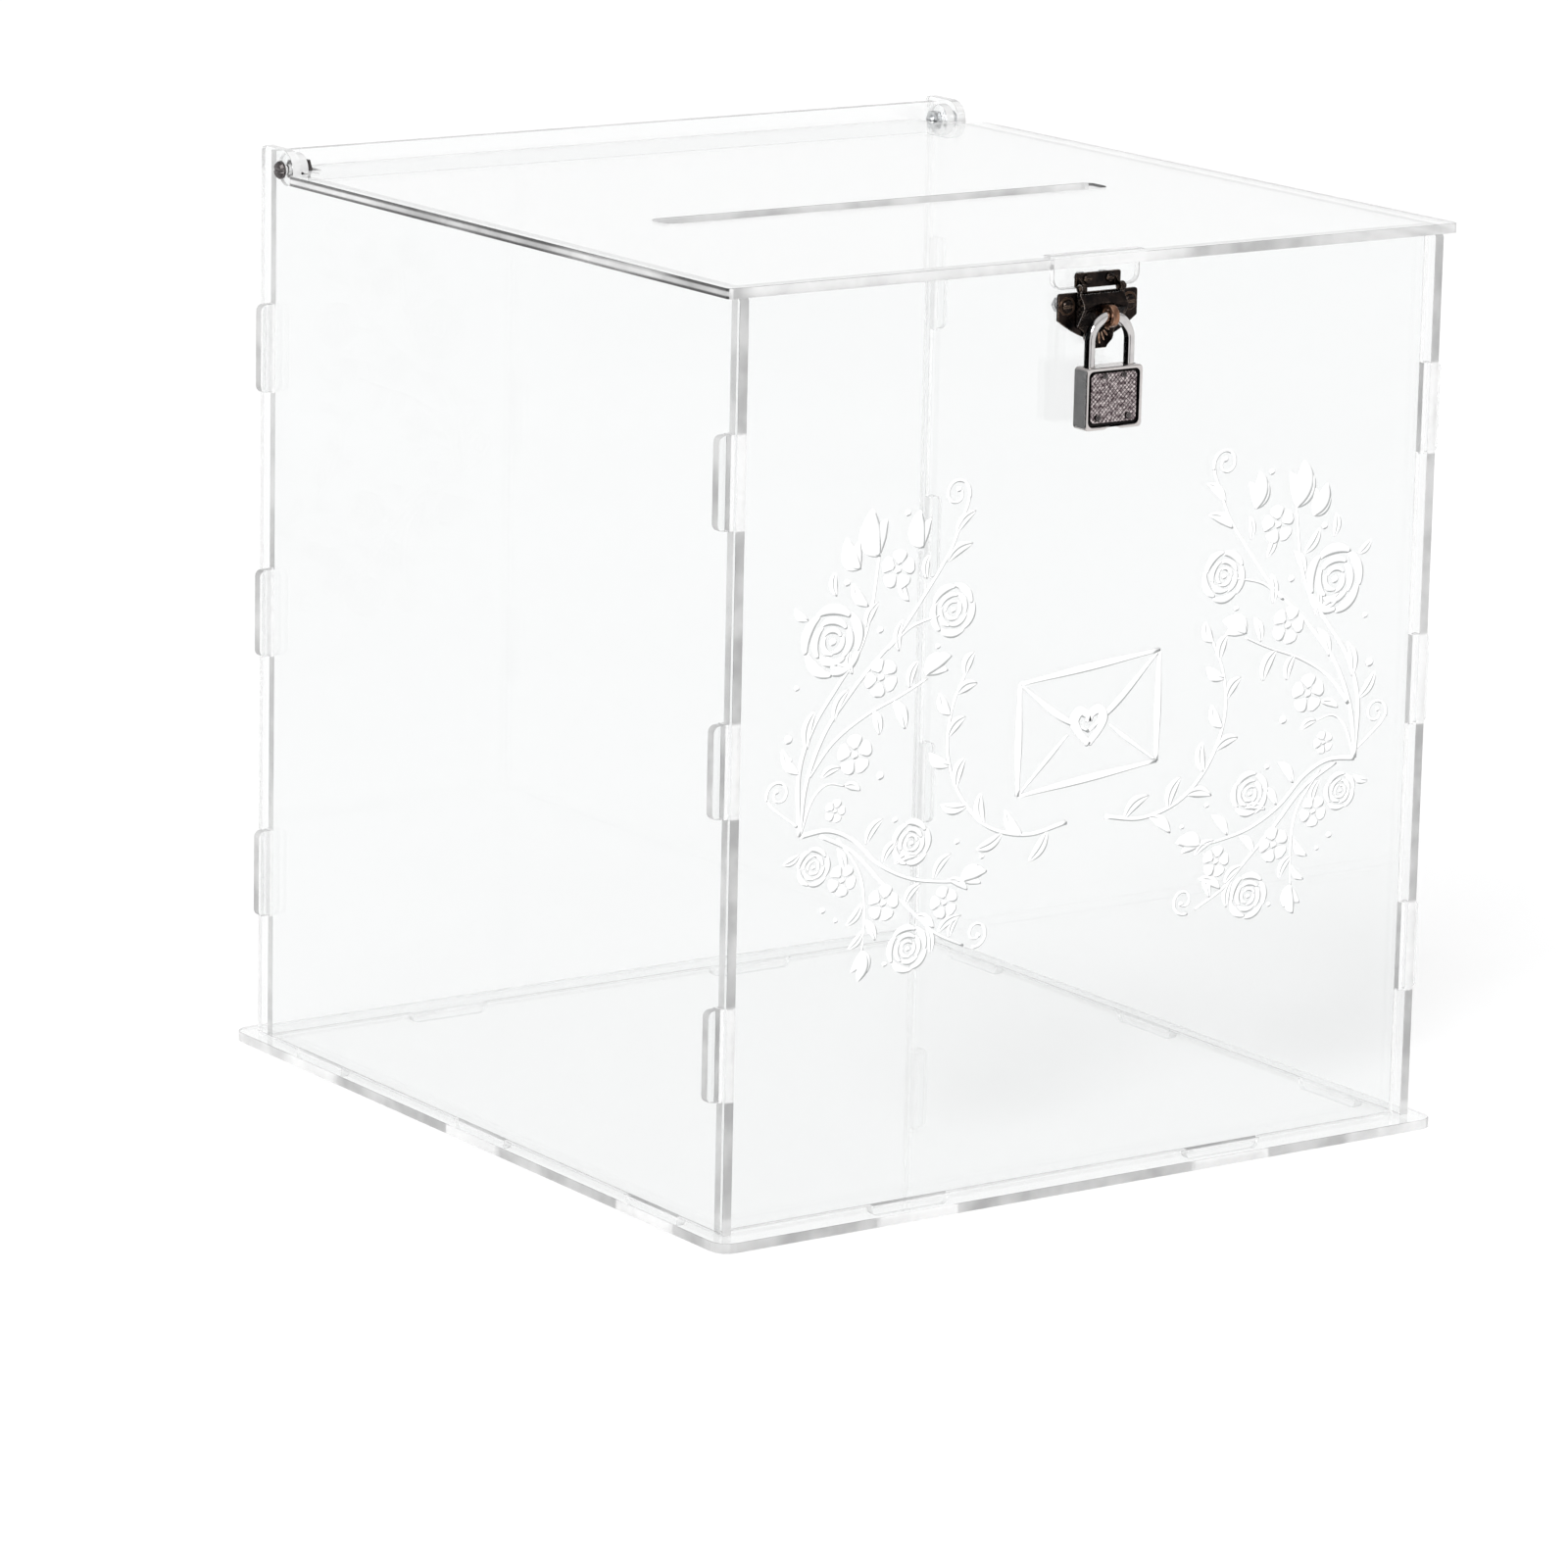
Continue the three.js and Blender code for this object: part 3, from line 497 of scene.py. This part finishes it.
def hatch_height(x, z, half_x, low_z, high_z):
    """Height in millimetres of a plate cut by slanting grooves inside a plain margin, with dished rivets."""
    inside = min(half_x - abs(x), z - low_z, high_z - z) - HATCH["margin"]
    if inside <= 0:
        rim = (0.75 + 0.35 * min(1, -inside / 0.2)) * min(1, (inside + HATCH["margin"]) / 0.3)
        return HATCH["depth"] * rim
    u = (x + z) / math.sqrt(2) / HATCH["pitch"]
    v = (x - z) / math.sqrt(2) / HATCH["pitch"]
    groove = min(abs(u - round(u)), abs(v - round(v)))
    cell = math.sin(math.floor(u) * 12.9 + math.floor(v) * 78.2) * 43758.5  # a fixed number for each cut pad
    lean = (cell - math.floor(cell) - 0.5) * 0.3
    height = HATCH["depth"] * min(1.0, groove / GROOVE_WIDTH) * (1 + lean * ((u - round(u)) * 2))
    for rivet_x, rivet_z in RIVETS:
        away = math.hypot(x - rivet_x, z - rivet_z) - DISH_RADIUS
        height *= min(1.0, max(0.0, away / DISH_WIDTH))
    return height


def hatched_panel(name, node, outwards):
    """A pressed panel with a hatched face towards outwards (-1 is the front, +1 the back)."""
    low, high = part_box(node)
    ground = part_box("padlock_case")[0].z / MM
    half_x = (high.x - low.x) / 2 / MM
    low_z, high_z = low.z / MM - ground, high.z / MM - ground
    face = (low.y if outwards < 0 else high.y) / MM
    back = (high.y if outwards < 0 else low.y) / MM
    columns, rows = 116, 104
    corner = HATCH["corner"]
    shape = bmesh.new()
    grid = []
    for r in range(rows + 1):
        z = low_z + (high_z - low_z) * r / rows
        inset = max(corner - (z - low_z), corner - (high_z - z), 0)
        reach = half_x - corner + math.sqrt(max(corner ** 2 - inset ** 2, 0.01))
        line = []
        for c in range(columns + 1):
            x = reach * (2 * c / columns - 1)
            depth = HATCH["depth"] * 1.1 - hatch_height(x, z, half_x, low_z, high_z)
            line.append(shape.verts.new((x * MM, (face - outwards * depth) * MM, (z + ground) * MM)))
        grid.append(line)
    for a, b in zip(grid, grid[1:]):
        for c in range(columns):
            shape.faces.new((a[c], a[c + 1], b[c + 1], b[c]))
    edge = grid[0] + [line[-1] for line in grid[1:-1]] + grid[-1][::-1] + [line[0] for line in grid[-2:0:-1]]
    rear = [shape.verts.new((v.co.x, back * MM, v.co.z)) for v in edge]
    bridge(shape, [edge, rear])
    shape.faces.new(rear)
    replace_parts(new_piece(name, shape, NICKEL, "padlock_body"), node)


def plate_boss(name, screw_node):
    """A raised collar on the staple plate round a screw's head."""
    low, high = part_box(screw_node)
    centre = Vector(((low.x + high.x) / 2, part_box("staple_plate")[0].y, (low.z + high.z) / 2))
    profile = [  # radius and y in millimetres
        (2.02, 0.02), (2.02, -0.3), (2.12, -0.42), (2.3, -0.46),
        (2.5, -0.4), (2.68, -0.24), (2.78, -0.06), (2.8, 0.02),
    ]
    sides = 40
    shape = bmesh.new()
    rings = [
        [shape.verts.new(centre + Vector((r * math.cos(a), y, r * math.sin(a))) * MM)
         for a in (2 * math.pi * k / sides for k in range(sides))]
        for r, y in profile
    ]
    bridge(shape, rings + rings[:1])
    new_piece(name, shape, BROWNED, "box")


def lobe_ribs():
    """Half-round ribs that fan out over the strap's finger lobe."""
    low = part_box("hasp_strap")[0].z / MM
    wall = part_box("front_wall")[0].y / MM
    shape = bmesh.new()
    length_steps, round_steps = 10, 8
    hub, hub_radius, half_width, crown = 6.8, 2.4, 0.34, 0.22
    for angle in (-62, -40, -20, 0, 20, 40, 62):
        a = math.radians(angle)
        reach = 5.6 - abs(angle) / 42
        across = Vector((math.cos(a), 0, math.sin(a)))
        rings = []
        for k in range(length_steps + 1):
            t = k / length_steps
            away = hub_radius + (reach - hub_radius) * t
            x = math.sin(a) * away
            z = low + hub - math.cos(a) * away
            out = 1.95 + max(0.0, low + 2.6 - z) * 0.3  # the lobe's face, which curls outwards at its foot
            half = half_width * math.sin(math.pi * (0.12 + 0.76 * t))
            ring = []
            for n in range(round_steps + 1):
                turn = math.pi * n / round_steps
                lift = math.sin(turn) * crown * math.sin(math.pi * (0.1 + 0.8 * t))
                ring.append((Vector((x, wall - out + 0.04 - lift, z)) + across * half * math.cos(turn)) * MM)
            rings.append(ring)
        skin(shape, rings)
    new_piece("lobe_ribs", shape, COPPER, "strap")


def coil_spring():
    """The latch's spring inside the case, which on the lock shortens as the latch slides back; this coil is
    drawn at one length.
    """
    low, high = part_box("latch_spring")
    wire = SPRING_WIRE
    middle = (low + high) / 2
    radius = (high.z - low.z) / 2 - wire
    turns, per_turn, sides = 4, 20, 8
    rings = []
    for k in range(turns * per_turn + 1):
        a = 2 * math.pi * k / per_turn
        out = Vector((0, math.cos(a), math.sin(a)))
        x = low.x + wire + (high.x - low.x - 2 * wire) * k / (turns * per_turn)
        centre = Vector((x, middle.y, middle.z)) + out * radius
        rings.append([
            centre + (out * math.cos(b) + Vector((math.sin(b), 0, 0))) * wire
            for b in (2 * math.pi * n / sides for n in range(sides))
        ])
    shape = bmesh.new()
    skin(shape, rings)
    piece = new_piece("coil_spring", shape, STEEL, "padlock_body")
    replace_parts(piece, "latch_spring")
    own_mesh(piece)


# ---- White relief on the front wall, drawn in millimetres in the wall's (x, z) plane ----
WALL_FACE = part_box("front_wall")[0].y
RELIEF_SINK = 0.03  # the relief's back lies this far inside the wall's face,
SINK_STEP = 0.001  # and each stroke's back this much deeper than the last one's, so that no two coincide
LEAST_WIDTH, FULL_HEIGHT_WIDTH = 0.04, 0.7
CURVE_STEPS = 8
ROUND = [(-1, 0), (-0.86, 0.5), (-0.5, 0.87), (0, 1), (0.5, 0.87), (0.86, 0.5), (1, 0)]
VEINED = [
    (-1, 0), (-0.9, 0.55), (-0.55, 1), (-0.16, 0.8), (0, 0.3), (0.16, 0.8), (0.55, 1), (0.9, 0.55), (1, 0),
]
FLAT = [(-1, 0), (-0.94, 0.6), (-0.8, 0.9), (-0.5, 1), (0.5, 1), (0.8, 0.9), (0.94, 0.6), (1, 0)]


def smooth_path(points):
    """A Catmull-Rom curve through the points."""
    p = [Vector(q) for q in points]
    p = [2 * p[0] - p[1], *p, 2 * p[-1] - p[-2]]
    path = []
    for a, b, c, d in zip(p, p[1:], p[2:], p[3:]):
        for k in range(CURVE_STEPS):
            t = k / CURVE_STEPS
            path.append(
                0.5 * (2 * b + (c - a) * t + (2 * a - 5 * b + 4 * c - d) * t * t
                       + (3 * b - a - 3 * c + d) * t ** 3)
            )
    return path + [p[-2]]


class Relief:
    """Raised strokes on the front wall, in one mesh. While axis is set, they are mirrored about x = axis."""

    def __init__(self):
        self.shape = bmesh.new()
        self.axis = None
        self.sink = RELIEF_SINK

    def point(self, place, height):
        x, z = place
        if self.axis is not None:
            x = 2 * self.axis - x
        return self.shape.verts.new((x * MM, WALL_FACE - height * MM, z * MM))

    def stroke(self, path, width, height=0.45, profile=ROUND):
        """A closed ridge along a path; width(t) is its full width from t 0 to 1."""
        self.sink += SINK_STEP
        last = len(path) - 1
        rings = []
        for k, centre in enumerate(path):
            ahead = (path[min(k + 1, last)] - path[max(k - 1, 0)]).normalized()
            side = Vector((-ahead.y, ahead.x))
            half = max(width(k / last), LEAST_WIDTH) / 2
            top = height * min(1, 2 * half / FULL_HEIGHT_WIDTH)
            ring = [self.point(centre + side * half * s, h * top) for s, h in profile]
            ring += [self.point(centre + side * half * s, -self.sink) for s in (1, -1)]
            rings.append(ring)
        bridge(self.shape, rings)
        self.shape.faces.new(rings[0])
        self.shape.faces.new(rings[-1][::-1])

    def stem(self, points, start, end):
        self.stroke(smooth_path(points), lambda t: start + (end - start) * t)

    def leaf(self, x, z, angle, length, width, profile=VEINED, height=0.5):
        """A pointed leaf from its foot at (x, z); angle is from +x, anticlockwise, in degrees."""
        bend = 0.12
        a = math.radians(angle)
        along = Vector((math.cos(a), math.sin(a)))
        across = Vector((-along.y, along.x))
        path = [
            Vector((x, z)) + along * length * t + across * length * bend * math.sin(math.pi * t)
            for t in (k / 12 for k in range(13))
        ]
        swell = 0.8
        self.stroke(path, lambda t: width * math.sin(math.pi * (t * 0.96 + 0.02)) ** swell, height, profile)

    def petal(self, x, z, angle, inner, outer, width):
        """A round petal between two radii from a flower's centre."""
        a = math.radians(angle)
        along = Vector((math.cos(a), math.sin(a)))
        path = [Vector((x, z)) + along * (inner + (outer - inner) * k / 10) for k in range(11)]
        self.stroke(path, lambda t: width * max(0.0, math.sin(math.pi * t ** 1.5)) ** 0.6, 0.55, FLAT)

    def dot(self, x, z, radius):
        path = [Vector((x + radius * (k / 4 - 1), z)) for k in range(9)]
        self.stroke(path, lambda t: 2 * radius * math.sqrt(max(0, 1 - (2 * t - 1) ** 2)), 0.5)

    def arc(self, x, z, radius, start, sweep, width, grow):
        """A crescent round (x, z): full in the middle, thin at its ends, its radius growing by grow."""
        steps = 16
        path = [
            Vector((x, z)) + Vector((math.cos(a), math.sin(a))) * (radius + grow * t)
            for t, a in ((k / steps, math.radians(start + sweep * k / steps)) for k in range(steps + 1))
        ]
        self.stroke(path, lambda t: width * math.sin(math.pi * (0.08 + 0.84 * t)) ** 0.7, 0.5)

    def curl(self, x, z, radius, start, turns, width):
        """A spiral that winds in to (x, z), with a bead in its eye."""
        steps = 40
        path = []
        for k in range(steps + 1):
            t = k / steps
            a = math.radians(start) + 2 * math.pi * turns * t
            path.append(Vector((x, z)) + Vector((math.cos(a), math.sin(a))) * radius * (1 - 0.72 * t))
        self.stroke(path, lambda t: width * (1 - 0.35 * t))
        self.dot(*path[-1], width * 0.75)

    def flower(self, x, z, radius, turn):
        for k in range(5):
            self.petal(x, z, turn + 72 * k, radius * 0.22, radius, radius * 0.86)
        self.dot(x, z, radius * 0.2)

    def rose(self, x, z, radius, turn):
        """Rings of crescent petals that tighten towards a budded middle."""
        for share, count, width in ((0.88, 5, 0.34), (0.56, 4, 0.27), (0.3, 3, 0.2)):
            for k in range(count):
                start = turn + 360 * k / count + 40 * share
                self.arc(x, z, radius * share, start, 360 / count * 1.02, radius * width, radius * 0.06)
        self.dot(x, z, radius * 0.12)

    def rosebud(self, x, z, angle, length):
        for lean, width, height in ((24, 0.34, 0.28), (-24, 0.34, 0.28), (0, 0.5, 0.5)):
            self.leaf(x, z, angle + lean, length * (1 - abs(lean) / 110), length * width, ROUND, height)

    def laurel(self, points, size):
        """A stem with leaves on either side by turns and one at its tip."""
        path = smooth_path(points)
        self.stroke(path, lambda t: 1.5 * (1 - 0.5 * t))
        last = len(path) - 1
        tip = 10
        for n in range(tip + 1):
            share = 0.1 + 0.09 * n
            lean = 0 if n == tip else 44 * (-1) ** n
            k = min(int(share * last), last - 1)
            ahead = path[k + 1] - path[k]
            angle = math.degrees(math.atan2(ahead.y, ahead.x)) + lean
            self.leaf(*path[k], angle, size * (1.15 - 0.4 * share), size * 0.4)

    def piece(self, name, material):
        """The finished piece: smooth in front, and flat behind, where it shows through the clear wall."""
        bmesh.ops.recalc_face_normals(self.shape, faces=self.shape.faces)
        made = add_object(name, finished_mesh(name, self.shape, material))
        for face in made.data.polygons:
            face.use_smooth = face.normal.y < 0.9
        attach(made, "box")
        return made


def flower_spray(art):
    """Half a garland at the left: stems from one knot, with roses, flowers, buds, leaves and curls."""
    knot = (-99, 118)
    for points, start, end in (
        ([knot, (-99.6, 136), (-95, 149), (-87, 160), (-80, 169), (-76, 180), (-73.5, 197)], 1.7, 0.8),
        ([knot, (-97, 133), (-91, 147), (-82, 158), (-75, 165), (-66, 173), (-57, 184), (-49, 195),
          (-45, 204)], 1.5, 0.9),
        ([(-96, 135), (-88, 144), (-77, 150.5), (-65, 155), (-56, 159)], 1.3, 0.7),
        ([knot, (-95, 128), (-90, 132), (-84, 131)], 1.1, 0.6),
        ([(-70, 169), (-62, 174.5), (-52, 177)], 1.1, 0.8),
        ([knot, (-89, 118.5), (-80, 114.5), (-71, 106.5), (-60, 101), (-47, 98.5), (-40, 98.5)], 1.7, 0.8),
        ([(-92, 117.5), (-80, 111), (-70, 101), (-60, 92), (-51, 84), (-41, 79)], 1.4, 0.8),
        ([(-86, 116), (-78, 105), (-76, 94), (-76.5, 82)], 1.0, 0.6),
    ):
        art.stem(points, start, end)
    art.curl(-47, 211.5, 4.6, -20, 1.25, 1.2)
    art.stem([(-45, 204), (-43.2, 208), (-42.7, 210.5)], 0.9, 1.1)
    art.curl(-106.5, 131, 4.2, 200, -1.2, 1.1)
    art.stem([(-100, 121), (-104, 124), (-108.5, 127.5), (-110.4, 130)], 0.8, 1.0)
    art.curl(-36.5, 82, 4.2, 250, 1.2, 1.1)
    art.rose(-89, 173, 10.2, 15)
    art.rose(-47.5, 178, 7.6, 50)
    art.rose(-60, 111.5, 6.6, 0)
    art.rose(-60.5, 80.5, 6.8, 30)
    art.rose(-94, 108.5, 5.6, 70)
    for x, z, radius, turn in (
        (-67, 191.5, 6.0, 10), (-72, 161, 6.0, 40), (-80.5, 139.5, 6.2, 20), (-87, 124, 3.6, 0),
        (-84, 103.5, 5.0, 55), (-69.5, 95, 5.6, 5), (-48, 92.5, 5.0, 30),
    ):
        art.flower(x, z, radius, turn)
    for x, z, angle, length in (
        (-73.6, 196, 100, 14), (-80, 193, 118, 10.5), (-58.5, 197, 96, 11), (-56.5, 160, 28, 10),
        (-76.5, 82, 262, 9), (-42, 98, 12, 9),
    ):
        art.rosebud(x, z, angle, length)
    for x, z, angle, length, width in (
        (-50, 192, 28, 10, 3.6), (-47, 200, 42, 9, 3.2), (-77.5, 176, 60, 8, 3.4), (-77, 182, 128, 9, 3.6),
        (-97, 143, 78, 11, 3.8), (-99.4, 136, 128, 10, 3.4), (-88, 150, 62, 10, 3.2),
        (-68, 154, -62, 10, 4.2),
        (-75, 152, -70, 8, 3.4), (-62, 157, 70, 8, 3.2), (-84, 165, 150, 8, 3.2), (-66, 168, 84, 9, 3),
        (-63, 182, 110, 8, 3), (-57, 188, 84, 7, 2.6), (-92, 134, 20, 7, 2.8), (-84, 131, -20, 6, 2.8),
        (-76, 113, 50, 9, 3.2), (-70, 107, 48, 8, 3), (-66, 106, 12, 8, 2.8), (-52, 100, 48, 9, 3.2),
        (-47, 99, -28, 8, 2.8), (-86, 113, -70, 8, 3), (-77, 96, 228, 8, 3), (-76.5, 91, 305, 8, 3),
        (-76.4, 88, 225, 7, 2.6), (-58, 90, -35, 8, 3), (-54, 86, -80, 8, 3), (-50, 84, 26, 9, 3.2),
        (-46, 82, 62, 7, 2.8), (-62, 93.5, 46, 8, 3), (-99, 113, 205, 6, 2.6), (-88, 186, 96, 7, 3),
        (-97.5, 180, 140, 6, 2.8), (-82, 163, 100, 7, 2.8),
    ):
        art.leaf(x, z, angle, length, width)
    for x, z, radius in (
        (-64, 207.5, 1.0), (-84.5, 189.5, 1.1), (-72.7, 174.8, 1.1), (-71.5, 132.5, 1.3), (-101, 161, 0.9),
        (-90.5, 95.5, 1.0), (-66, 119, 0.9), (-103.5, 146.5, 1.4), (-103, 140.5, 0.9), (-52.5, 168, 0.9),
        (-86, 92, 0.8), (-44, 110, 0.9), (-35, 104.5, 0.8), (-68.5, 77, 0.8),
    ):
        art.dot(x, z, radius)


def card_motif(art):
    """A sealed envelope with a heart, between two leafy sprigs. The envelope rises to the right."""
    left, right, low, high = -23, 27, 123, 156
    middle = (left + right) / 2
    rise = 0.098

    def pen(points, thin, thick, height, profile=ROUND):
        """A line that is thickest half way along."""
        path = smooth_path([(x, z + rise * x) for x, z in points])
        art.stroke(path, lambda t: thin + (thick - thin) * math.sin(math.pi * t) ** 2, height, profile)

    corners = [(left, high), (left, low), (right, low), (right, high)]
    for a, b in zip(corners, corners[1:] + corners[:1]):
        pen([a, ((a[0] + b[0]) / 2, (a[1] + b[1]) / 2), b], 1.2, 2.4, 0.55, FLAT)
    fold = (middle, low + 14)
    pen([(left, high), (-9, high - 12), fold], 1.0, 2.2, 0.55)
    pen([(right, high), (13, high - 12), fold], 1.0, 2.2, 0.55)
    pen([(left, low), (-12, low + 9), (-5.5, low + 14.5)], 0.8, 1.4, 0.5)
    pen([(right, low), (16, low + 9), (9.5, low + 14.5)], 0.8, 1.4, 0.5)
    heart_z = fold[1] + 1.5 + rise * middle
    for side in (-1, 1):
        lobe = [(0, -5.2), (3.4, -1.6), (5.2, 2.0), (3.4, 4.6), (0.9, 3.6), (0, 1.6)]
        # The heart stands upright, so the rise that pen adds is taken off again.
        points = [(middle + side * x, heart_z + z - rise * (middle + side * x)) for x, z in lobe]
        pen(points, 2.0, 3.4, 0.8, FLAT)
    for side in (-1, 1):
        bow = [(7, 111), (21, 109), (35, 113), (45, 123), (50, 136), (49, 149), (44, 160)]
        art.laurel([(middle + side * x, z) for x, z in bow], 9.5)


def add_relief(material):
    art = Relief()
    flower_spray(art)
    art.axis = 1.2  # the right-hand spray is the left one mirrored
    flower_spray(art)
    art.axis = None
    card_motif(art)
    art.piece("flower_relief", material)


add_relief(printed_white())
smooth_shackle()
hatched_panel("hatched_panel_front", "padlock_front_panel", -1)
hatched_panel("hatched_panel_back", "padlock_back_panel", 1)
plate_boss("plate_boss_left", "staple_screw_left")
plate_boss("plate_boss_right", "staple_screw_right")
lobe_ribs()
coil_spring()
